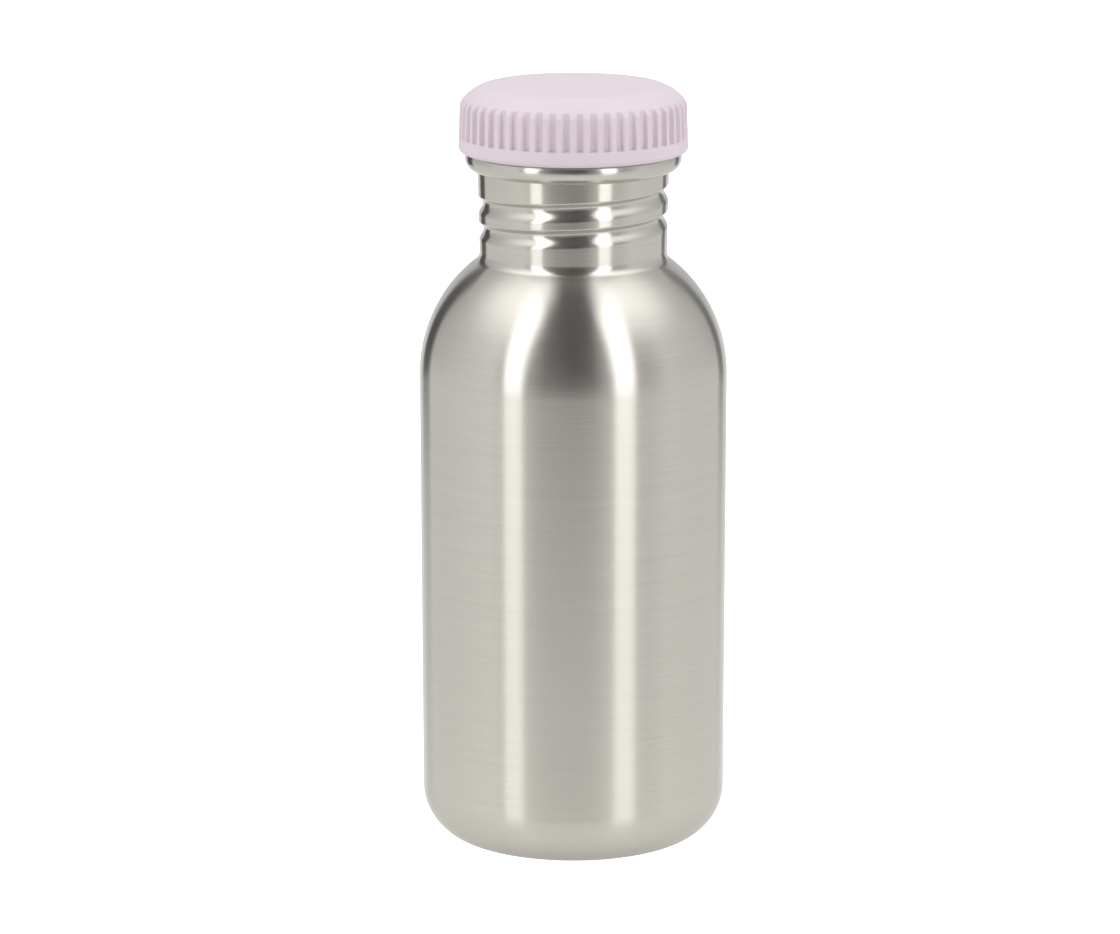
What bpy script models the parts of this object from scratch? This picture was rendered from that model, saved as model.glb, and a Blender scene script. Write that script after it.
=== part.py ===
"""Child's single-wall steel drinking bottle with a ribbed screw-in lid.

Metres, +Z up. The origin is at the centre of the standing ring, and the bottle's axis is Z.
The lid's cover and plug hang on an empty on that axis, about which the lid turns and rises.
"""
import math
from collections import namedtuple

import bmesh
import bpy

# Bottle
BODY_RADIUS = 0.0355
BODY_TAPER = 0.0004
STEEL_THICKNESS = 0.0006
BASE_CORNER_RADIUS = 0.0127
FOOT_WIDTH = 0.0018
SHOULDER_HEIGHT = 0.1104
SHOULDER_RADIUS = 0.0332
NECK_FILLET_RADIUS = 0.0029
NECK_LOWER_RADIUS = 0.0216
NECK_UPPER_RADIUS = 0.0220
LIP_RADIUS = 0.0029
LIP_HEIGHT = 0.1607
LIP_EDGE_ANGLE = -80

# Right-handed screw thread; angles run anticlockwise from +X, in degrees
THREAD_LEAD = 0.006
THREAD_FIRST_ANGLE = 90
THREAD_FIRST_HEIGHT = 0.1429

# Thread rolled into the neck
NECK_THREAD_ANGLES = (90, 810)
NECK_THREAD_DEPTH = 0.00105
NECK_THREAD_CREST = 0.0002
NECK_THREAD_ABOVE = 0.0015
NECK_THREAD_BELOW = 0.0029
NECK_THREAD_FADE = 50
NECK_ROWS = 18

# Base disc, welded inside the standing ring
ASSEMBLY_GAP = 0.0003
DISC_RIM_WIDTH = 0.0013
DISC_STEP_WIDTH = 0.0012
DISC_RECESS = 0.0020
DISC_DOME = 0.0006

# Lid cover
LID_BOTTOM = 0.1621
LID_TOP = 0.1772
LID_LOWER_RADIUS = 0.0264
LID_UPPER_RADIUS = 0.02605
LID_CORNER_RADIUS = 0.0012
LID_EDGE_WIDTH = 0.0054
LID_EDGE_HEIGHT = 0.0041
LID_EDGE_POWER = 1.36
LID_THICKNESS = 0.0018
LID_BORE_RADIUS = 0.0242
SKIRT_BORE_RADIUS = 0.02495
SKIRT_HEIGHT = 0.0025
RIB_COUNT = 52
RIB_BOTTOM = 0.1655
RIB_TOP = 0.1733
RIB_DEPTH = 0.0010
RIB_PHASE = 1.6

# Lid plug
PLUG_RADIUS = 0.0197
PLUG_WALL = 0.0018
PLUG_BOTTOM = 0.1435
PLUG_CORNER = 0.0012
FLANGE_RADIUS = 0.0239
FLANGE_BOTTOM = 0.1659
FLANGE_TOP = 0.1674
PLUG_THREAD_ANGLES = (150, 600)
PLUG_THREAD_DEPTH = 0.0011
PLUG_THREAD_CREST = 0.0003
PLUG_THREAD_ABOVE = 0.0012
PLUG_THREAD_BELOW = 0.0012
PLUG_THREAD_FADE = 25
PLUG_THREAD_SPAN = (0.1450, 0.1564)
PLUG_ROWS = 15

# Gasket
GASKET_INNER_RADIUS = 0.0202
GASKET_OUTER_RADIUS = 0.0238
GASKET_CHAMFER = 0.0003

ROUND_STEPS = 48
MERGE_DISTANCE = 1e-7
SMOOTH_ANGLE = 35

# A ridge reaches this far above and below its centre line, and its crest is flat for a part of it
Thread = namedtuple("Thread", "offset angles depth crest above below fade")


def clear_scene():
    for item in list(bpy.data.objects):
        bpy.data.objects.remove(item, do_unlink=True)


def make_material(name, colour, metallic, roughness):
    material = bpy.data.materials.new(name)
    material.use_nodes = True
    shader = material.node_tree.nodes["Principled BSDF"]
    shader.inputs["Base Color"].default_value = (*colour, 1.0)
    shader.inputs["Metallic"].default_value = metallic
    shader.inputs["Roughness"].default_value = roughness
    return material


def arc(centre_radius, centre_height, radius, start, end, steps):
    """Points of a circular arc in the profile plane, with angles in degrees."""
    points = []
    for step in range(steps + 1):
        angle = math.radians(start + (end - start) * step / steps)
        points.append((centre_radius + radius * math.cos(angle),
                       centre_height + radius * math.sin(angle)))
    return points


def turned(profile, steps):
    """Spin a closed outline of (radius, height) points about Z. Edges on the axis are left out."""
    mesh = bmesh.new()
    points = [mesh.verts.new((radius, 0.0, height)) for radius, height in profile]
    edges = []
    for start, end in zip(points, points[1:] + points[:1]):
        if start.co.x > 0.0 or end.co.x > 0.0:
            edges.append(mesh.edges.new((start, end)))
    bmesh.ops.spin(mesh, geom=points + edges, cent=(0, 0, 0), axis=(0, 0, 1),
                   angle=math.tau, steps=steps, use_merge=True, use_duplicate=False)
    bmesh.ops.remove_doubles(mesh, verts=mesh.verts, dist=MERGE_DISTANCE)
    bmesh.ops.recalc_face_normals(mesh, faces=mesh.faces)
    return mesh


def add_object(name, mesh, material, origin_height, parent=None):
    """Make a named object from a bmesh in world space, with its origin on the axis."""
    bmesh.ops.translate(mesh, verts=mesh.verts, vec=(0, 0, -origin_height))
    data = bpy.data.meshes.new(name)
    mesh.to_mesh(data)
    mesh.free()
    data.shade_smooth()
    data.set_sharp_from_angle(angle=math.radians(SMOOTH_ANGLE))
    data.materials.append(material)
    item = bpy.data.objects.new(name, data)
    bpy.context.collection.objects.link(item)
    item.parent = parent
    item.location.z = origin_height - (parent.location.z if parent else 0.0)
    return item


def smooth_step(value):
    value = min(max(value, 0.0), 1.0)
    return value * value * (3.0 - 2.0 * value)


def helix_relief(angle, height, thread):
    """Depth of a helical ridge at an angle and a height, fading out at the ridge's two ends."""
    first, last = thread.angles
    relief = 0.0
    turn_angle = angle % 360
    while turn_angle < last:
        if turn_angle > first:
            turns = (turn_angle - THREAD_FIRST_ANGLE) / 360
            centre = THREAD_FIRST_HEIGHT + thread.offset + THREAD_LEAD * turns
            fade = smooth_step(min(turn_angle - first, last - turn_angle) / thread.fade)
            reach = thread.above if height > centre else thread.below
            flank = reach - thread.crest
            rise = smooth_step((reach - abs(height - centre)) / flank)
            relief = max(relief, thread.depth * fade * rise)
        turn_angle += 360
    return relief


def add_thread(mesh, thread, span, inner_limit, sign):
    """Push walls outside inner_limit along a helix: out for sign 1, in for sign -1."""
    low, high = span
    for vertex in mesh.verts:
        radius = vertex.co.xy.length
        if low < vertex.co.z < high and radius > inner_limit:
            angle = math.degrees(math.atan2(vertex.co.y, vertex.co.x))
            scale = 1.0 + sign * helix_relief(angle, vertex.co.z, thread) / radius
            vertex.co.x *= scale
            vertex.co.y *= scale


def neck_joint():
    """Height where the straight neck starts, and the angle where the shoulder's arc ends."""
    run = NECK_LOWER_RADIUS + NECK_FILLET_RADIUS - (BODY_RADIUS - SHOULDER_RADIUS)
    rise = math.sqrt((SHOULDER_RADIUS + NECK_FILLET_RADIUS) ** 2 - run ** 2)
    return SHOULDER_HEIGHT + rise, math.degrees(math.atan2(rise, run))


def foot_radii():
    """Inner and outer radius of the flat ring that the bottle stands on."""
    outer = BODY_RADIUS - BODY_TAPER - BASE_CORNER_RADIUS
    return outer - FOOT_WIDTH, outer


def shell_wall(inset):
    """The wall from the standing ring to the top of the neck, inset from the outer face."""
    neck_foot, shoulder_end = neck_joint()
    _, foot_outer = foot_radii()
    wall = arc(foot_outer, BASE_CORNER_RADIUS, BASE_CORNER_RADIUS - inset, -90, 0, 5)
    wall += arc(BODY_RADIUS - SHOULDER_RADIUS, SHOULDER_HEIGHT, SHOULDER_RADIUS - inset,
                0, shoulder_end, 7)
    fillet = arc(NECK_LOWER_RADIUS + NECK_FILLET_RADIUS, neck_foot, NECK_FILLET_RADIUS + inset,
                 180 + shoulder_end, 180, 3)
    wall += fillet[1:]
    neck_height = LIP_HEIGHT - LIP_RADIUS - neck_foot
    for row in range(1, NECK_ROWS + 1):
        share = row / NECK_ROWS
        radius = NECK_LOWER_RADIUS + (NECK_UPPER_RADIUS - NECK_LOWER_RADIUS) * share
        wall.append((radius - inset, neck_foot + neck_height * share))
    return wall


def make_bottle_shell(material):
    """Body, shoulder, threaded neck and rolled lip, drawn from one sheet."""
    foot_inner, _ = foot_radii()
    curl_radius = LIP_RADIUS - STEEL_THICKNESS
    profile = [(foot_inner, 0.0)]
    profile += shell_wall(0.0)
    profile += arc(NECK_UPPER_RADIUS, LIP_HEIGHT, curl_radius, 90, LIP_EDGE_ANGLE, 5)
    profile += arc(NECK_UPPER_RADIUS, LIP_HEIGHT, LIP_RADIUS, LIP_EDGE_ANGLE, 90, 7)
    profile.append((NECK_UPPER_RADIUS - STEEL_THICKNESS, LIP_HEIGHT + curl_radius))
    profile += reversed(shell_wall(STEEL_THICKNESS))
    profile.append((foot_inner, STEEL_THICKNESS))
    mesh = turned(profile, ROUND_STEPS)
    thread = Thread(0.0, NECK_THREAD_ANGLES, NECK_THREAD_DEPTH, NECK_THREAD_CREST,
                    NECK_THREAD_ABOVE, NECK_THREAD_BELOW, NECK_THREAD_FADE)
    neck_foot, _ = neck_joint()
    add_thread(mesh, thread, (neck_foot, LIP_HEIGHT - LIP_RADIUS), 0.0, -1)
    return add_object("bottle_shell", mesh, material, 0.0)


def make_base_disc(material):
    """Pressed disc inside the standing ring, stepped up and slightly domed."""
    foot_inner, _ = foot_radii()
    outer = foot_inner - ASSEMBLY_GAP
    rim = outer - DISC_RIM_WIDTH
    floor = rim - DISC_STEP_WIDTH
    underside = [
        (0.0, DISC_RECESS + DISC_DOME),
        (floor / 2, DISC_RECESS + DISC_DOME * 0.75),
        (floor, DISC_RECESS),
        (rim, 0.0),
        (outer, 0.0),
    ]
    slant = STEEL_THICKNESS / 2
    top = [(radius + slant * (0.0 < radius < outer), height + STEEL_THICKNESS)
           for radius, height in reversed(underside)]
    mesh = turned(underside + top, ROUND_STEPS)
    return add_object("base_disc", mesh, material, 0.0)


def lid_edge(steps):
    """The soft edge from the top of the lid's side to its flat top."""
    points = []
    for step in range(steps + 1):
        angle = math.pi / 2 * step / steps
        across = max(math.cos(angle), 0.0) ** (2 / LID_EDGE_POWER)
        up = math.sin(angle) ** (2 / LID_EDGE_POWER)
        points.append((LID_UPPER_RADIUS - LID_EDGE_WIDTH * (1 - across),
                       LID_TOP - LID_EDGE_HEIGHT * (1 - up)))
    return points


def carve_grooves(mesh):
    """Sink every second face of the band between the ribs' ends."""
    band_middle = (RIB_BOTTOM + RIB_TOP) / 2
    slot_angle = 360 / (2 * RIB_COUNT)
    grooves = []
    for face in mesh.faces:
        centre = face.calc_center_median()
        slot = math.floor(math.degrees(math.atan2(centre.y, centre.x)) / slot_angle)
        outside = centre.xy.length > LID_BORE_RADIUS + RIB_DEPTH
        in_band = abs(centre.z - band_middle) < (RIB_TOP - RIB_BOTTOM) / 4
        if outside and in_band and slot % 2 == 0:
            grooves.append(face)
    sunk = bmesh.ops.extrude_discrete_faces(mesh, faces=grooves)
    for face in sunk["faces"]:
        inwards = face.normal * -RIB_DEPTH
        bmesh.ops.translate(mesh, verts=face.verts, vec=inwards)


def make_lid_cover(material, parent):
    """Ribbed outer shell of the lid, hollow and open underneath."""
    ceiling = LID_TOP - LID_THICKNESS
    skirt_top = LID_BOTTOM + SKIRT_HEIGHT
    profile = [(SKIRT_BORE_RADIUS, LID_BOTTOM + ASSEMBLY_GAP)]
    profile += arc(LID_LOWER_RADIUS - LID_CORNER_RADIUS, LID_BOTTOM + LID_CORNER_RADIUS,
                   LID_CORNER_RADIUS, -90, 0, 3)
    profile += [(LID_LOWER_RADIUS, RIB_BOTTOM), (LID_UPPER_RADIUS, RIB_TOP)]
    profile += lid_edge(4)[1:]
    profile += [
        (0.0, LID_TOP),
        (0.0, ceiling),
        (LID_BORE_RADIUS - LID_THICKNESS, ceiling),
        (LID_BORE_RADIUS, ceiling - LID_THICKNESS),
        (LID_BORE_RADIUS, skirt_top + SKIRT_BORE_RADIUS - LID_BORE_RADIUS),
        (SKIRT_BORE_RADIUS, skirt_top),
    ]
    mesh = turned(profile, 2 * RIB_COUNT)
    carve_grooves(mesh)
    cover = add_object("lid_cover", mesh, material, LID_BOTTOM, parent)
    cover.rotation_euler.z = math.radians(RIB_PHASE)
    return cover


def make_lid_plug(material, parent):
    """Hollow stopper with the male thread, and the flange that presses on the gasket."""
    top = LID_TOP - LID_THICKNESS - ASSEMBLY_GAP
    low, high = PLUG_THREAD_SPAN
    profile = [
        (0.0, PLUG_BOTTOM),
        (PLUG_RADIUS - PLUG_CORNER, PLUG_BOTTOM),
        (PLUG_RADIUS, PLUG_BOTTOM + PLUG_CORNER),
    ]
    for row in range(PLUG_ROWS + 1):
        profile.append((PLUG_RADIUS, low + (high - low) * row / PLUG_ROWS))
    profile += [
        (PLUG_RADIUS, FLANGE_BOTTOM),
        (FLANGE_RADIUS, FLANGE_BOTTOM),
        (FLANGE_RADIUS, FLANGE_TOP),
        (PLUG_RADIUS, FLANGE_TOP),
        (PLUG_RADIUS, top),
        (PLUG_RADIUS - PLUG_WALL, top),
        (PLUG_RADIUS - PLUG_WALL, PLUG_BOTTOM + PLUG_WALL),
        (0.0, PLUG_BOTTOM + PLUG_WALL),
    ]
    mesh = turned(profile, ROUND_STEPS)
    thread = Thread(THREAD_LEAD / 2, PLUG_THREAD_ANGLES, PLUG_THREAD_DEPTH, PLUG_THREAD_CREST,
                    PLUG_THREAD_ABOVE, PLUG_THREAD_BELOW, PLUG_THREAD_FADE)
    add_thread(mesh, thread, PLUG_THREAD_SPAN, PLUG_RADIUS - PLUG_WALL / 2, 1)
    return add_object("lid_plug", mesh, material, PLUG_BOTTOM, parent)


def make_lid_gasket(material):
    """Flat sealing ring between the bottle's lip and the plug's flange."""
    bottom = LIP_HEIGHT + LIP_RADIUS + ASSEMBLY_GAP
    top = FLANGE_BOTTOM - ASSEMBLY_GAP
    profile = [
        (GASKET_INNER_RADIUS, bottom),
        (GASKET_OUTER_RADIUS - GASKET_CHAMFER, bottom),
        (GASKET_OUTER_RADIUS, bottom + GASKET_CHAMFER),
        (GASKET_OUTER_RADIUS, top),
        (GASKET_INNER_RADIUS, top),
    ]
    return add_object("lid_gasket", turned(profile, ROUND_STEPS), material, bottom)


def add_lid_axis():
    axis = bpy.data.objects.new("lid_axis", None)
    axis.location.z = LID_BOTTOM
    bpy.context.collection.objects.link(axis)
    return axis


def main():
    clear_scene()
    steel = make_material("brushed_steel", (0.56, 0.54, 0.51), 1.0, 0.30)
    lilac = make_material("lilac_plastic", (0.75, 0.65, 0.71), 0.0, 0.45)
    white = make_material("white_plastic", (0.80, 0.78, 0.76), 0.0, 0.40)
    silicone = make_material("silicone", (0.70, 0.70, 0.68), 0.0, 0.60)
    make_bottle_shell(steel)
    make_base_disc(steel)
    make_lid_gasket(silicone)
    lid_axis = add_lid_axis()
    make_lid_cover(lilac, lid_axis)
    make_lid_plug(white, lid_axis)


main()
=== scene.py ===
"""Looks of the child's steel drinking bottle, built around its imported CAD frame. Metres, +Z up."""
import math

import bmesh
import bpy
import numpy as np
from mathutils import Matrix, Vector


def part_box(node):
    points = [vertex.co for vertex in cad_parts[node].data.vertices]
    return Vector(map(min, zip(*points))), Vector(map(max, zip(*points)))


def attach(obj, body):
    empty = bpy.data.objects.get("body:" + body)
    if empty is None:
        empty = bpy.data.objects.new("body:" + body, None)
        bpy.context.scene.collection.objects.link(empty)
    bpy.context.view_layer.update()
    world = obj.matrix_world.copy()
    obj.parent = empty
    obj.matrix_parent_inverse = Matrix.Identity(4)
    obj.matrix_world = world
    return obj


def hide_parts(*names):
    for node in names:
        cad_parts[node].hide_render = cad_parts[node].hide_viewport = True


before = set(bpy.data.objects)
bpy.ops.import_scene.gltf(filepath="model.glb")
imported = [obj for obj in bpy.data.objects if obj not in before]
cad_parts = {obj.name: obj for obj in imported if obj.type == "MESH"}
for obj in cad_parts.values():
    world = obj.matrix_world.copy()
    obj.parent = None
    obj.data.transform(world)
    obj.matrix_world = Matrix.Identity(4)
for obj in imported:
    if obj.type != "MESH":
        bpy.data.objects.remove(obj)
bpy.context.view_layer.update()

# Places taken from the frame
shell_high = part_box("bottle_shell")[1]
disc_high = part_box("base_disc")[1]
cover_low, cover_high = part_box("lid_cover")
plug_low, plug_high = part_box("lid_plug")
gasket_low, gasket_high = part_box("lid_gasket")
BODY_RADIUS = shell_high.x
LIP_TOP = shell_high.z
LID_BOTTOM = cover_low.z
LID_TOP = cover_high.z

# Bottle
BODY_TAPER = 0.0004
STEEL = 0.0006
BASE_CORNER = 0.0127
FOOT_WIDTH = 0.0018
SHOULDER_HEIGHT = 0.1104
SHOULDER_RADIUS = 0.0332
SHOULDER_END = 0.1330
NECK_START = 0.1400
NECK_FILLET = 0.0029
NECK_LOWER_RADIUS = 0.0216
NECK_UPPER_RADIUS = 0.0220
LIP_RADIUS = 0.0029
LIP_HEIGHT = LIP_TOP - LIP_RADIUS
LIP_EDGE_ANGLE = -80
BORE_CORNER = 0.0005

# Thread; angles run anticlockwise from +X, in degrees
LEAD = 0.006
FIRST_ANGLE = 90
FIRST_HEIGHT = 0.1429
NECK_THREAD = {"offset": 0.0, "angles": (90, 810), "depth": 0.00105, "crest": 0.0002,
               "above": 0.0015, "below": 0.0029, "fade": 50}
PLUG_THREAD = {"offset": LEAD / 2, "angles": (150, 600), "depth": 0.0011, "crest": 0.0003,
               "above": 0.0012, "below": 0.0012, "fade": 25}

# Lid
LID_LOWER_RADIUS = 0.0264
LID_UPPER_RADIUS = 0.02605
LID_CORNER = 0.0012
EDGE_WIDTH = 0.0054
EDGE_HEIGHT = 0.0041
EDGE_POWER = 1.36
LID_THICKNESS = 0.0018
LID_BORE = 0.0242
SKIRT_BORE = 0.02495
SKIRT_HEIGHT = 0.0025
RIB_COUNT = 52
RIB_BOTTOM = 0.1655
RIB_FOOT = 0.0003
GROOVE_RADIUS = 0.0251
GROOVE_PHASE = 3.32
PLUG_WALL = 0.0018
PLUG_RADIUS = 0.0197
FLANGE_BOTTOM = 0.1659
FLANGE_TOP = 0.1674

# Studio brightness by azimuth in degrees: 0 in front of the bottle, positive to its right
WALLS = ((-180, 0.6), (-130, 0.6), (-90, 0.80),
         (-64, 0.88), (-54, 0.55), (-34, 0.4), (-22, 0.2), (0, 0.1), (14, 0.15), (28, 0.5),
         (48, 0.5), (60, 0.52), (76, 0.8), (115, 0.72), (134, 0.6),
         (180, 0.6))
PANELS = ((-180, 0.5), (-135, 0.6), (-120, 1.1), (-100, 1.65), (-60, 1.75), (-44, 1.2),
          (-33, 0.3), (-20, 0.14), (18, 0.14), (31, 0.3), (42, 1.2), (60, 1.75), (100, 1.65),
          (120, 1.1), (135, 0.65), (180, 0.5))

# Meshes
ROUND_STEPS = 480
RIB_STEPS = 16
MERGE_DISTANCE = 1e-7
SMOOTH_ANGLE = 40

# Noise cells per metre along X, Y and Z
HAIRLINES = (90, 90, 4200)
POLISH_BANDS = (2.5, 2.5, 420)
POLISH_CLOUDS = (30, 30, 30)
PLASTIC_GRAIN = (5200, 5200, 5200)
PLASTIC_FLOW = (70, 70, 45)
SILICONE_CLOUDS = (300, 300, 300)

# Sockets of a colour Mix node, whose names repeat
COLOUR_A = 6
COLOUR_B = 7
COLOUR_RESULT = 2


# --- shapes -------------------------------------------------------------------------------------

def arc(centre_radius, centre_height, radius, start, end, steps):
    """Points of a circular arc in the profile plane, with angles in degrees."""
    angles = np.radians(np.linspace(start, end, steps + 1))
    return list(zip(centre_radius + radius * np.cos(angles),
                    centre_height + radius * np.sin(angles)))


def line(start, end, steps):
    """Points of a straight run, without its first point."""
    shares = np.linspace(0, 1, steps + 1)[1:, None]
    return [tuple(point) for point in np.array(start) * (1 - shares) + np.array(end) * shares]


def smooth_step(value):
    value = np.clip(value, 0.0, 1.0)
    return value * value * (3.0 - 2.0 * value)


def helix_relief(angle, height, thread):
    """Depth of a helical ridge, from 0 to the thread's full depth, fading at its two ends."""
    first, last = thread["angles"]
    degrees = np.degrees(angle) % 360
    relief = np.zeros_like(height)
    for turn in range(math.ceil(last / 360)):
        along = degrees + 360 * turn
        centre = FIRST_HEIGHT + thread["offset"] + LEAD * (along - FIRST_ANGLE) / 360
        fade = smooth_step(np.minimum(along - first, last - along) / thread["fade"])
        reach = np.where(height > centre, thread["above"], thread["below"])
        rise = smooth_step((reach - np.abs(height - centre)) / (reach - thread["crest"]))
        relief = np.maximum(relief, thread["depth"] * fade * rise)
    return relief


def turned(name, outline, steps, shape=None):
    """A closed outline of (radius, height) points turned about Z. shape changes the radii."""
    outline = np.array(outline, float)
    angles = np.linspace(0, math.tau, steps, endpoint=False)
    radius, angle = np.meshgrid(outline[:, 0], angles, indexing="ij")
    height = np.repeat(outline[:, 1:], steps, axis=1)
    if shape:
        radius = shape(radius, angle, height)
    points = np.stack((radius * np.cos(angle), radius * np.sin(angle), height), axis=-1)
    rows = len(outline)
    index = np.arange(rows * steps).reshape(rows, steps)
    above = np.roll(index, -1, axis=0)
    beside = np.roll(index, -1, axis=1)
    across = np.roll(above, -1, axis=1)
    quads = np.stack((index, beside, across, above), axis=-1)
    on_axis = (outline[:, 0] == 0) & (np.roll(outline[:, 0], -1) == 0)
    faces = quads[~on_axis].reshape(-1, 4)
    data = bpy.data.meshes.new(name)
    data.from_pydata(points.reshape(-1, 3).tolist(), [], faces.tolist())
    mesh = bmesh.new()
    mesh.from_mesh(data)
    bmesh.ops.remove_doubles(mesh, verts=mesh.verts, dist=MERGE_DISTANCE)
    mesh.to_mesh(data)
    mesh.free()
    data.shade_smooth()
    data.set_sharp_from_angle(angle=math.radians(SMOOTH_ANGLE))
    item = bpy.data.objects.new(name, data)
    bpy.context.collection.objects.link(item)
    return item


def foot_radii():
    outer = BODY_RADIUS - BODY_TAPER - BASE_CORNER
    return outer - FOOT_WIDTH, outer


def shell_wall(inset, neck_rows):
    """The wall from the standing ring to the neck's top, inset from the outer face."""
    run = NECK_LOWER_RADIUS + NECK_FILLET - (BODY_RADIUS - SHOULDER_RADIUS)
    rise = math.sqrt((SHOULDER_RADIUS + NECK_FILLET) ** 2 - run ** 2)
    neck_foot = SHOULDER_HEIGHT + rise
    shoulder_end = math.degrees(math.atan2(rise, run))
    _, foot_outer = foot_radii()
    wall = arc(foot_outer, BASE_CORNER, BASE_CORNER - inset, -90, 0, 28)
    top_of_corner = wall[-1]
    shoulder = arc(BODY_RADIUS - SHOULDER_RADIUS, SHOULDER_HEIGHT, SHOULDER_RADIUS - inset,
                   0, shoulder_end, 60)
    wall += line(top_of_corner, shoulder[0], 12)
    wall += shoulder[1:]
    fillet = arc(NECK_LOWER_RADIUS + NECK_FILLET, neck_foot, NECK_FILLET + inset,
                 180 + shoulder_end, 180, 14)
    wall += fillet[1:]
    wall += line(wall[-1], (NECK_UPPER_RADIUS - inset, LIP_HEIGHT - LIP_RADIUS), neck_rows)
    return wall


def thread_in_neck(radius, angle, height):
    return radius - helix_relief(angle, height, NECK_THREAD)


def make_bottle():
    """Drawn body, shoulder, threaded neck and rolled lip, from one sheet."""
    foot_inner, _ = foot_radii()
    curl = LIP_RADIUS - STEEL
    bore = NECK_UPPER_RADIUS - STEEL
    outline = [(foot_inner, 0.0)]
    outline += shell_wall(0.0, 150)
    outline += arc(NECK_UPPER_RADIUS, LIP_HEIGHT, curl, 90, LIP_EDGE_ANGLE, 24)
    outline += arc(NECK_UPPER_RADIUS, LIP_HEIGHT, LIP_RADIUS, LIP_EDGE_ANGLE, 90, 40)
    outline += arc(bore + BORE_CORNER, LIP_TOP - BORE_CORNER, BORE_CORNER, 100, 180, 6)
    outline += reversed(shell_wall(STEEL, 120))
    outline.append((foot_inner, STEEL))
    return turned("drawn_bottle", outline, ROUND_STEPS, thread_in_neck)


def make_base():
    """Pressed disc with a rolled step, a faint dome and a ring pressed into it."""
    outer = disc_high.x
    rim = outer - 0.0013
    floor = rim - 0.0012
    recess = 0.0020
    dome = 0.0006
    ring_radius = 0.0095
    ring_width = 0.0012
    ring_depth = 0.00025

    def underside(radius):
        step = recess * smooth_step((rim - radius) / (rim - floor))
        rise = dome * (1 - np.clip(radius / floor, 0, 1) ** 2)
        pressed = ring_depth * smooth_step(1 - np.abs(radius - ring_radius) / ring_width)
        return step + rise - pressed

    radii = np.concatenate((np.linspace(0, floor, 60), np.linspace(floor, rim, 16)[1:], [outer]))
    lower = list(zip(radii, underside(radii)))
    upper = [(radius, height + STEEL) for radius, height in reversed(lower)]
    return turned("pressed_base", lower + upper, 192)


def make_weld():
    """Bead of small overlapping ripples round the disc, level with the standing ring."""
    ripple_count = 160
    ripple_size = 0.00003
    bead = 0.00034
    centre = (foot_radii()[0] + disc_high.x) / 2

    def ripples(radius, angle, height):
        return radius + ripple_size * np.abs(np.sin(angle * ripple_count / 2))

    return turned("base_weld", arc(centre, bead + 0.0001, bead, 0, 345, 14), 960, ripples)


def lid_profile_radius(height):
    """Outer radius of the lid's side and soft edge at a height."""
    edge_bottom = LID_TOP - EDGE_HEIGHT
    share = np.clip((height - LID_BOTTOM) / (edge_bottom - LID_BOTTOM), 0, 1)
    side = LID_LOWER_RADIUS + (LID_UPPER_RADIUS - LID_LOWER_RADIUS) * share
    up = np.clip((height - edge_bottom) / EDGE_HEIGHT, 0, 1)
    across = (1 - up ** EDGE_POWER) ** (1 / EDGE_POWER)
    return side - EDGE_WIDTH * (1 - across)


def ribs_on_lid(radius, angle, height):
    """Sink straight grooves into the lid's side, down to one floor radius."""
    pitch = math.tau / RIB_COUNT
    across = (angle - math.radians(GROOVE_PHASE)) / pitch
    off_centre = np.abs(across - np.round(across))
    groove = smooth_step((0.335 - off_centre) / 0.15)
    foot = smooth_step((height - RIB_BOTTOM) / RIB_FOOT)
    depth = np.clip(radius - GROOVE_RADIUS, 0, None) * groove * foot
    outside = radius > (LID_BORE + GROOVE_RADIUS) / 2
    return radius - depth * outside


def make_cover():
    """Ribbed cover of the lid, hollow and open underneath."""
    ceiling = LID_TOP - LID_THICKNESS
    skirt_top = LID_BOTTOM + SKIRT_HEIGHT
    edge_bottom = LID_TOP - EDGE_HEIGHT
    outline = arc(SKIRT_BORE + 0.0002, LID_BOTTOM + 0.0002, 0.0002, 180, 270, 3)
    outline += arc(LID_LOWER_RADIUS - LID_CORNER, LID_BOTTOM + LID_CORNER, LID_CORNER, -90, 0, 12)
    heights = np.concatenate((np.linspace(LID_BOTTOM + LID_CORNER, RIB_BOTTOM, 4)[1:],
                              RIB_BOTTOM + np.linspace(0, RIB_FOOT, 6)[1:],
                              np.linspace(RIB_BOTTOM + RIB_FOOT, edge_bottom, 20)[1:]))
    outline += [(float(lid_profile_radius(height)), height) for height in heights]
    for angle in np.linspace(0, math.pi / 2, 40)[1:-1]:
        across = math.cos(angle) ** (2 / EDGE_POWER)
        up = math.sin(angle) ** (2 / EDGE_POWER)
        outline.append((LID_UPPER_RADIUS - EDGE_WIDTH * (1 - across),
                        LID_TOP - EDGE_HEIGHT * (1 - up)))
    flat = LID_UPPER_RADIUS - EDGE_WIDTH
    outline += line((flat + 0.0001, LID_TOP), (0.0, LID_TOP), 12)
    outline += [(0.0, ceiling), (LID_BORE - LID_THICKNESS, ceiling)]
    outline += arc(LID_BORE - LID_THICKNESS, ceiling - LID_THICKNESS, LID_THICKNESS, 80, 0, 8)
    outline += [
        (LID_BORE, skirt_top + SKIRT_BORE - LID_BORE),
        (SKIRT_BORE, skirt_top),
    ]
    return turned("ribbed_cover", outline, RIB_COUNT * RIB_STEPS, ribs_on_lid)


def thread_on_plug(radius, angle, height):
    outside = radius > PLUG_RADIUS - PLUG_WALL / 2
    return radius + helix_relief(angle, height, PLUG_THREAD) * outside


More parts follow.
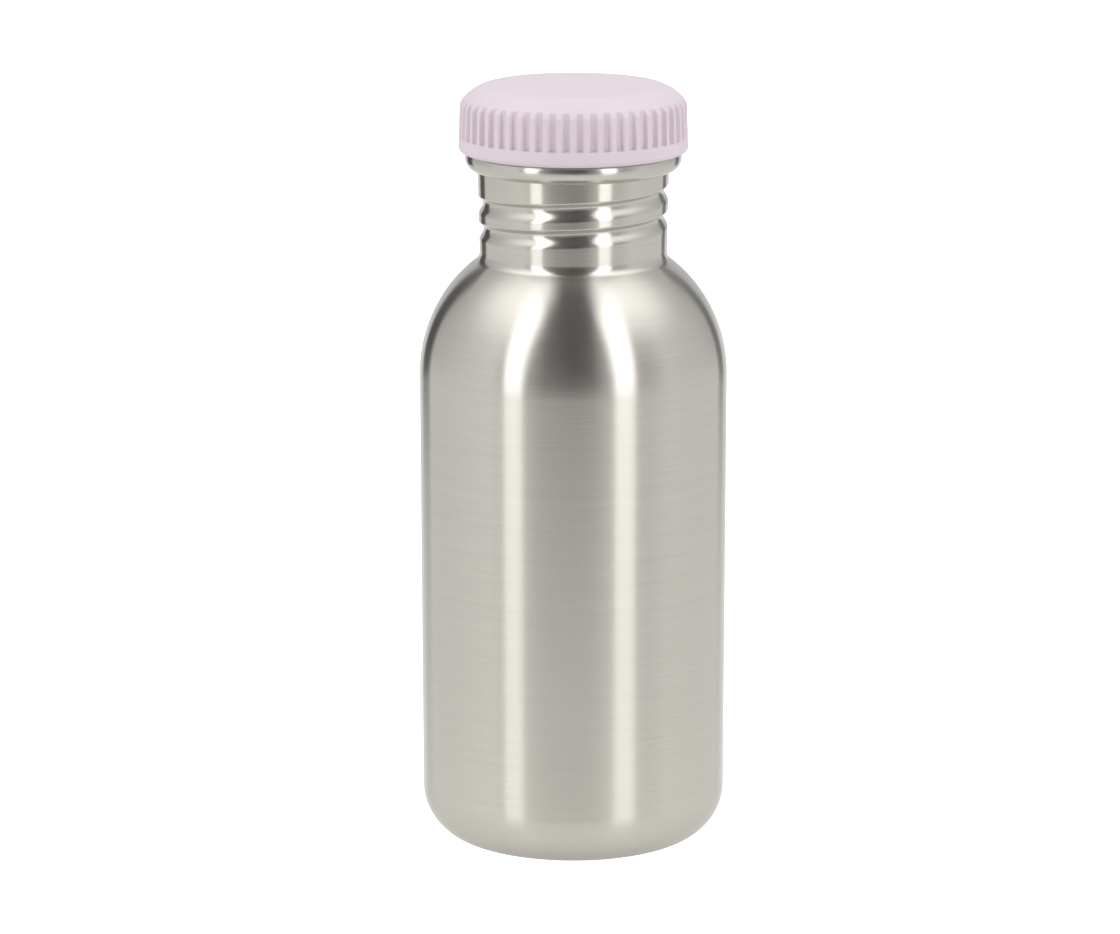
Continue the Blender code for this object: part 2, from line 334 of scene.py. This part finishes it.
def make_plug():
    """Hollow stopper with its thread, flange and rounded bottom edge."""
    bottom = plug_low.z
    top = plug_high.z
    corner = 0.0012
    inner = PLUG_RADIUS - PLUG_WALL
    flange = plug_high.x
    rounding = 0.0004
    outline = [(0.0, bottom)]
    outline += arc(PLUG_RADIUS - corner, bottom + corner, corner, -90, 0, 8)
    outline += line(outline[-1], (PLUG_RADIUS, FLANGE_BOTTOM - rounding), 150)
    outline += arc(PLUG_RADIUS + rounding, FLANGE_BOTTOM - rounding, rounding, 180, 90, 5)[1:]
    outline += arc(flange - rounding, FLANGE_BOTTOM + rounding, rounding, -90, 0, 5)
    outline += arc(flange - rounding, FLANGE_TOP - rounding, rounding, 0, 90, 5)
    outline += [(PLUG_RADIUS, FLANGE_TOP), (PLUG_RADIUS, top), (inner, top)]
    outline += arc(inner - corner, bottom + PLUG_WALL + corner, corner, 0, -90, 8)
    outline.append((0.0, bottom + PLUG_WALL))
    return turned("threaded_plug", outline, 288, thread_on_plug)


def make_gasket():
    """Silicone ring with rounded edges."""
    low, high = gasket_low.z, gasket_high.z
    outer = gasket_high.x
    inner = 0.0202
    rounding = 0.0004
    outline = arc(inner + rounding, low + rounding, rounding, 180, 270, 5)
    outline += arc(outer - rounding, low + rounding, rounding, 270, 360, 5)
    outline += arc(outer - rounding, high - rounding, rounding, 0, 90, 5)
    outline += arc(inner + rounding, high - rounding, rounding, 90, 180, 5)
    return turned("silicone_gasket", outline, 240)


# --- materials ----------------------------------------------------------------------------------

def add_node(tree, kind, **settings):
    node = tree.nodes.new(kind)
    for name, value in settings.items():
        setattr(node, name, value)
    return node


def maths(tree, operation, *values):
    """A Math node. Each value is a number or another node's output."""
    node = add_node(tree, "ShaderNodeMath", operation=operation)
    for socket, value in zip(node.inputs, values):
        if isinstance(value, (int, float)):
            socket.default_value = value
        else:
            tree.links.new(value, socket)
    return node.outputs[0]


def new_material(name):
    material = bpy.data.materials.new(name)
    material.use_nodes = True
    tree = material.node_tree
    return material, tree, tree.nodes["Principled BSDF"]


def stretched_noise(tree, scale, detail):
    """Noise in the piece's own coordinates, with a different scale along each axis."""
    place = add_node(tree, "ShaderNodeTexCoord")
    mapping = add_node(tree, "ShaderNodeMapping")
    mapping.inputs["Scale"].default_value = scale
    noise = add_node(tree, "ShaderNodeTexNoise")
    noise.inputs["Scale"].default_value = 1.0
    noise.inputs["Detail"].default_value = detail
    noise.inputs["Roughness"].default_value = 0.6
    tree.links.new(place.outputs["Object"], mapping.inputs["Vector"])
    tree.links.new(mapping.outputs["Vector"], noise.inputs["Vector"])
    return noise.outputs["Fac"]


def remap(tree, noise, low, high):
    """Spread the usual range of a noise over low to high."""
    node = add_node(tree, "ShaderNodeMapRange")
    node.inputs["From Min"].default_value = 0.3
    node.inputs["From Max"].default_value = 0.7
    node.inputs["To Min"].default_value = low
    node.inputs["To Max"].default_value = high
    tree.links.new(noise, node.inputs["Value"])
    return node.outputs["Result"]


def mix_colour(tree, factor, first, second):
    node = add_node(tree, "ShaderNodeMix", data_type="RGBA")
    node.inputs[COLOUR_A].default_value = (*first, 1)
    node.inputs[COLOUR_B].default_value = (*second, 1)
    tree.links.new(factor, node.inputs["Factor"])
    return node.outputs[COLOUR_RESULT]


def add_bump(tree, shader, height, distance):
    bump = add_node(tree, "ShaderNodeBump")
    bump.inputs["Strength"].default_value = 1.0
    bump.inputs["Distance"].default_value = distance
    tree.links.new(height, bump.inputs["Height"])
    tree.links.new(bump.outputs["Normal"], shader.inputs["Normal"])


def height_share(tree, low, high):
    """0 below one height on the object and 1 above another, with a smooth change between."""
    place = add_node(tree, "ShaderNodeTexCoord")
    split = add_node(tree, "ShaderNodeSeparateXYZ")
    tree.links.new(place.outputs["Object"], split.inputs["Vector"])
    node = add_node(tree, "ShaderNodeMapRange", interpolation_type="SMOOTHSTEP")
    node.inputs["From Min"].default_value = low
    node.inputs["From Max"].default_value = high
    tree.links.new(split.outputs["Z"], node.inputs["Value"])
    return node.outputs["Result"]


def brushed_steel(name, body_roughness, neck_roughness):
    """Steel polished round its axis: hair-fine rings, and a smoother neck above the shoulder."""
    material, tree, shader = new_material(name)
    hairlines = stretched_noise(tree, HAIRLINES, 3.0)
    bands = stretched_noise(tree, POLISH_BANDS, 3.0)
    clouds = stretched_noise(tree, POLISH_CLOUDS, 2.0)
    tone = maths(tree, "MULTIPLY_ADD", hairlines, 0.6, maths(tree, "MULTIPLY", bands, 0.4))
    dark = (0.590, 0.571, 0.525)
    light = (0.640, 0.620, 0.572)
    tree.links.new(mix_colour(tree, remap(tree, tone, 0.0, 1.0), dark, light),
                   shader.inputs["Base Color"])
    neck = height_share(tree, SHOULDER_END, NECK_START)
    even = maths(tree, "MULTIPLY_ADD", neck, neck_roughness - body_roughness, body_roughness)
    streaks = remap(tree, hairlines, -0.015, 0.015)
    patches = remap(tree, clouds, -0.008, 0.008)
    uneven = maths(tree, "ADD", streaks, patches)
    tree.links.new(maths(tree, "ADD", uneven, even), shader.inputs["Roughness"])
    shader.inputs["Metallic"].default_value = 1.0
    shader.inputs["Anisotropic"].default_value = 0.9
    shader.inputs["Anisotropic Rotation"].default_value = 0.25
    tangent = add_node(tree, "ShaderNodeTangent", direction_type="RADIAL", axis="Z")
    tree.links.new(tangent.outputs["Tangent"], shader.inputs["Tangent"])
    add_bump(tree, shader, hairlines, 0.000008)
    return material


def moulded_plastic(name, light, dark, roughness, grain):
    """Satin moulded plastic: a fine spark-eroded grain and faintly uneven colour."""
    material, tree, shader = new_material(name)
    grain_noise = stretched_noise(tree, PLASTIC_GRAIN, 2.0)
    flow = stretched_noise(tree, PLASTIC_FLOW, 3.0)
    colour = mix_colour(tree, remap(tree, flow, 0.0, 1.0), dark, light)
    tree.links.new(colour, shader.inputs["Base Color"])
    tree.links.new(remap(tree, flow, roughness - 0.03, roughness + 0.03), shader.inputs["Roughness"])
    add_bump(tree, shader, grain_noise, grain)
    return material


def silicone(name):
    """Matte food-grade silicone with a faint cloudiness."""
    material, tree, shader = new_material(name)
    cloud = stretched_noise(tree, SILICONE_CLOUDS, 2.0)
    colour = mix_colour(tree, remap(tree, cloud, 0.0, 1.0), (0.66, 0.66, 0.64), (0.76, 0.76, 0.74))
    tree.links.new(colour, shader.inputs["Base Color"])
    tree.links.new(remap(tree, cloud, 0.50, 0.60), shader.inputs["Roughness"])
    add_bump(tree, shader, cloud, 0.00001)
    return material


# --- floor, light and camera --------------------------------------------------------------------

def make_floor(front, back, half_width):
    """Pale floor with a faint painted glow: a painted pool of light, brightest near the bottle and in
    front of it.
    """
    data = bpy.data.meshes.new("floor")
    corners = [(-half_width, front, 0), (half_width, front, 0),
               (half_width, back, 0), (-half_width, back, 0)]
    data.from_pydata(corners, [], [(0, 1, 2, 3)])
    floor = bpy.data.objects.new("floor", data)
    bpy.context.collection.objects.link(floor)
    floor.location.z = -0.0001
    material, tree, shader = new_material("pale_floor")
    shader.inputs["Base Color"].default_value = (0.45, 0.45, 0.45, 1)
    shader.inputs["Roughness"].default_value = 0.12
    shader.inputs["Specular IOR Level"].default_value = 0.22
    shader.inputs["Emission Color"].default_value = (1, 0.99, 0.965, 1)
    place = add_node(tree, "ShaderNodeTexCoord")
    stretch = add_node(tree, "ShaderNodeVectorMath", operation="MULTIPLY")
    stretch.inputs[1].default_value = (1, 0.35, 1)
    tree.links.new(place.outputs["Object"], stretch.inputs[0])
    distance = add_node(tree, "ShaderNodeVectorMath", operation="LENGTH")
    tree.links.new(stretch.outputs["Vector"], distance.inputs[0])
    # Painted pool of light: emission that falls off with distance from the bottle, so the steel
    # reflects a brighter floor near its base.
    falloff = maths(tree, "DIVIDE", 0.0165, maths(tree, "ADD", distance.outputs["Value"], 0.027))
    painted_light_pool = maths(tree, "MINIMUM", maths(tree, "ADD", falloff, 0.28), 0.47)
    path = add_node(tree, "ShaderNodeLightPath")
    glow = maths(tree, "MULTIPLY_ADD", path.outputs["Is Camera Ray"], 0.7, painted_light_pool)
    tree.links.new(glow, shader.inputs["Emission Strength"])
    data.materials.append(material)


def add_soft_box(name, azimuth, width, power):
    """Tall soft box that faces the bottle. Azimuth 0 is in front and positive to the right."""
    elevation = 25
    distance = 0.9
    light = bpy.data.lights.new(name, "AREA")
    light.shape = "RECTANGLE"
    light.size = width
    light.size_y = 1.25
    light.energy = power
    item = bpy.data.objects.new(name, light)
    bpy.context.collection.objects.link(item)
    turn = math.radians(azimuth)
    lift = math.radians(elevation)
    away = Vector((math.sin(turn) * math.cos(lift), -math.cos(turn) * math.cos(lift), math.sin(lift)))
    target = Vector((0, 0, 0.09))
    item.location = target + away * distance
    item.rotation_euler = away.to_track_quat("Z", "Y").to_euler()


def add_flag(name, azimuth, width, shade):
    """Dark card behind the bottle, seen only in the steel, where it darkens the edges."""
    distance = 0.55
    height = 0.45
    data = bpy.data.meshes.new(name)
    half = width / 2
    data.from_pydata([(-half, 0, 0), (half, 0, 0), (half, 0, height), (-half, 0, height)],
                     [], [(0, 1, 2, 3)])
    card = bpy.data.objects.new(name, data)
    bpy.context.collection.objects.link(card)
    turn = math.radians(azimuth)
    card.location = (math.sin(turn) * distance, -math.cos(turn) * distance, 0)
    card.rotation_euler.z = turn
    card.visible_camera = False
    card.visible_shadow = False
    card.visible_diffuse = False
    material, tree, shader = new_material(name)
    shader.inputs["Base Color"].default_value = (shade, shade, shade, 1)
    shader.inputs["Roughness"].default_value = 1.0
    data.materials.append(material)


def world_ramp(tree, share, stops):
    """Brightness round the horizon from (azimuth in degrees, brightness) stops."""
    ramp = add_node(tree, "ShaderNodeValToRGB")
    elements = ramp.color_ramp.elements
    elements.remove(elements[1])
    for count, (azimuth, bright) in enumerate(stops):
        place = (azimuth + 180) / 360
        element = elements[0] if count == 0 else elements.new(place)
        element.position = place
        element.color = (bright, bright, bright, 1)
    tree.links.new(share, ramp.inputs["Fac"])
    return ramp.outputs["Color"]


def by_elevation(tree, sine, low, high, below, above):
    """Blend from below to above between two elevations in degrees."""
    node = add_node(tree, "ShaderNodeMapRange", interpolation_type="SMOOTHSTEP")
    node.inputs["From Min"].default_value = math.sin(math.radians(low))
    node.inputs["From Max"].default_value = math.sin(math.radians(high))
    tree.links.new(sine, node.inputs["Value"])
    blend = add_node(tree, "ShaderNodeMix", data_type="RGBA")
    tree.links.new(node.outputs["Result"], blend.inputs["Factor"])
    tree.links.new(below, blend.inputs[COLOUR_A])
    if isinstance(above, float):
        blend.inputs[COLOUR_B].default_value = (above, above, above, 1)
    else:
        tree.links.new(above, blend.inputs[COLOUR_B])
    return blend.outputs[COLOUR_RESULT]


def make_world():
    """Studio tent: pale sides, bright panels above them, a dark front and a dim ceiling."""
    world = bpy.data.worlds.new("studio")
    bpy.context.scene.world = world
    world.use_nodes = True
    tree = world.node_tree
    tree.nodes.clear()
    place = add_node(tree, "ShaderNodeTexCoord")
    split = add_node(tree, "ShaderNodeSeparateXYZ")
    tree.links.new(place.outputs["Generated"], split.inputs["Vector"])
    front = maths(tree, "MULTIPLY", split.outputs["Y"], -1.0)
    azimuth = maths(tree, "ARCTAN2", split.outputs["X"], front)
    share = maths(tree, "MULTIPLY_ADD", azimuth, 1 / math.tau, 0.5)
    walls = world_ramp(tree, share, WALLS)
    panels = world_ramp(tree, share, PANELS)
    sides = by_elevation(tree, split.outputs["Z"], 22, 58, walls, panels)
    studio_light = by_elevation(tree, split.outputs["Z"], 75, 82, sides, 0.16)
    path = add_node(tree, "ShaderNodeLightPath")
    gain = maths(tree, "MULTIPLY_ADD", path.outputs["Is Diffuse Ray"], 0.22, 1.0)
    studio = add_node(tree, "ShaderNodeBackground")
    tree.links.new(studio_light, studio.inputs["Color"])
    tree.links.new(gain, studio.inputs["Strength"])
    backdrop = add_node(tree, "ShaderNodeBackground")
    backdrop.inputs["Color"].default_value = (1, 1, 1, 1)
    choice = add_node(tree, "ShaderNodeMixShader")
    tree.links.new(path.outputs["Is Camera Ray"], choice.inputs["Fac"])
    tree.links.new(studio.outputs[0], choice.inputs[1])
    tree.links.new(backdrop.outputs[0], choice.inputs[2])
    out = add_node(tree, "ShaderNodeOutputWorld")
    tree.links.new(choice.outputs[0], out.inputs["Surface"])


def make_camera():
    """Long lens in front of the bottle, above it and looking slightly down."""
    data = bpy.data.cameras.new("camera")
    data.sensor_width = 36
    data.lens = 192.4
    data.shift_x = -0.0119
    data.clip_end = 20
    camera = bpy.data.objects.new("camera", data)
    bpy.context.collection.objects.link(camera)
    camera.location = (0, -1.3581, 0.3778)
    camera.rotation_euler = (math.radians(90 - 12.05), 0, 0)
    bpy.context.scene.camera = camera


# --- assembly -----------------------------------------------------------------------------------

def finish_piece(piece, material, body, slot, *nodes):
    """Give a piece its material, its body and the CAD nodes it stands for."""
    piece.data.materials.append(material)
    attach(piece, body)
    if nodes:
        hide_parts(*nodes)


steel = brushed_steel("brushed_steel", 0.24, 0.20)
base_steel = brushed_steel("base_steel", 0.26, 0.26)
lilac = moulded_plastic("lilac_plastic", (0.808, 0.704, 0.778), (0.790, 0.687, 0.760),
                        roughness=0.45, grain=0.000004)
white = moulded_plastic("white_plastic", (0.78, 0.76, 0.74), (0.75, 0.73, 0.71),
                        roughness=0.40, grain=0.000003)

finish_piece(make_bottle(), steel, "bottle", "steel", "bottle_shell")
finish_piece(make_base(), base_steel, "bottle", "steel", "base_disc")
finish_piece(make_weld(), base_steel, "bottle", "steel")
finish_piece(make_cover(), lilac, "lid", "lid_lilac", "lid_cover")
finish_piece(make_plug(), white, "lid", "plug_white", "lid_plug")
finish_piece(make_gasket(), silicone("seal_silicone"), "seal", "seal", "lid_gasket")

make_floor(-0.59, 2.5, 1.5)
make_world()
add_flag("left_flag", -142, 0.17, 0.10)
add_flag("right_flag", 143, 0.12, 0.25)
add_soft_box("left_box", -44.8, 0.25, 1.55)
add_soft_box("right_box", 38.3, 0.27, 1.7)
make_camera()
bpy.context.scene.view_settings.view_transform = "Standard"
